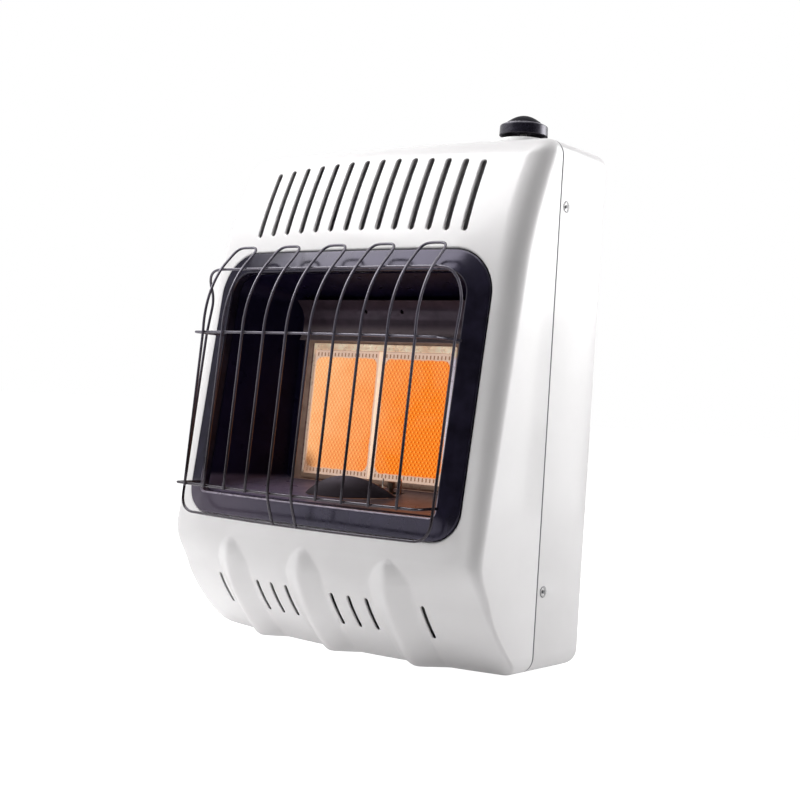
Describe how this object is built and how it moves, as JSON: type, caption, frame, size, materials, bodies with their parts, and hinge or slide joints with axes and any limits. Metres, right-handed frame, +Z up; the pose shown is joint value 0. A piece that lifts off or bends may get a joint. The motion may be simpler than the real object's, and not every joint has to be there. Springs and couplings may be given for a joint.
{
  "type": "radiant propane heater",
  "caption": "Wall-hung or free-standing radiant gas heater with white casing, wire guard, glowing ceramic burner plaques and a push-and-turn knob on top.",
  "frame": {"origin": "centre of the bounding box's bottom face, on the surface that the heater stands on", "axes": "+Z up, -Y towards the guard and the viewer, +Y towards the wall, +X to the right seen from the front, on the knob's side"},
  "size_m": [0.4524, 0.286, 0.6285],
  "materials": {
    "case_paint": "smooth white gloss powder coat",
    "collar_plastic": "white gloss",
    "black_enamel": "glossy black",
    "firebox_enamel": "glossy dark enamel",
    "dark_shield": "dark heat-stained",
    "stainless": "satin",
    "ceramic_glow": "matte perforated, glowing orange",
    "ceramic_strip": "matte pale fibre strip",
    "aluminised_steel": "matte",
    "brass_parts": "machined",
    "copper_parts": "drawn copper",
    "white_ceramic": "glazed",
    "knob_plastic": "black semi-gloss",
    "black_plastic": "satin",
    "cast_body": "as cast",
    "aluminium_tube": "drawn",
    "red_silicone": "satin",
    "guard_wire": "dark satin wire",
    "screw_steel": "zinc plated"
  },
  "bodies": {
    "heater_body": {"rear_case": "case_paint", "front_cover": "case_paint", "knob_collar": "collar_plastic", "bezel_frame": "black_enamel", "firebox": "firebox_enamel", "heat_deflector": "dark_shield", "pilot_shield": "dark_shield", "burner_frame": "stainless", "plaque_left": "ceramic_glow", "plaque_right": "ceramic_glow", "plaque_divider": "ceramic_strip", "burner_housing": "aluminised_steel", "mixing_tube": "aluminised_steel", "orifice_bracket": "aluminised_steel", "orifice_fitting": "brass_parts", "pilot_bracket": "aluminised_steel", "pilot_burner": "stainless", "thermocouple": "copper_parts", "igniter_electrode": "white_ceramic", "rear_heat_shield": "aluminised_steel", "gas_valve": "brass_parts", "valve_bracket": "aluminised_steel", "piezo_igniter": "black_plastic", "regulator": "cast_body", "regulator_bracket": "aluminised_steel", "inlet_fitting": "brass_parts", "supply_tube": "aluminium_tube", "burner_tube": "aluminium_tube", "pilot_tube": "aluminium_tube", "thermocouple_lead": "copper_parts", "igniter_lead": "red_silicone", "guard_hairpin_1": "guard_wire", "guard_hairpin_2": "guard_wire", "guard_hairpin_3": "guard_wire", "guard_hairpin_4": "guard_wire", "guard_hairpin_5": "guard_wire", "guard_mid_bar": "guard_wire", "guard_lower_bar": "guard_wire", "guard_perimeter": "guard_wire", "side_screw_left_upper": "screw_steel", "side_screw_left_lower": "screw_steel", "side_screw_right_upper": "screw_steel", "side_screw_right_lower": "screw_steel"},
    "plunger": {"valve_plunger": "brass_parts"},
    "knob": {"control_knob": "knob_plastic", "valve_stem": "stainless"}
  },
  "joints": [
    {"name": "knob_push", "type": "slide", "parent": "heater_body", "child": "plunger", "axis": [0, 0, -1], "range_m": [0, 0.005], "stiffness_N_per_m": 600, "springref_m": -0.005},
    {"name": "knob_turn", "type": "hinge", "parent": "plunger", "child": "knob", "pos_m": [0.1442, 0.08097, 0.56], "axis": [0, 0, 1], "range_deg": [0, 240]}
  ]
}
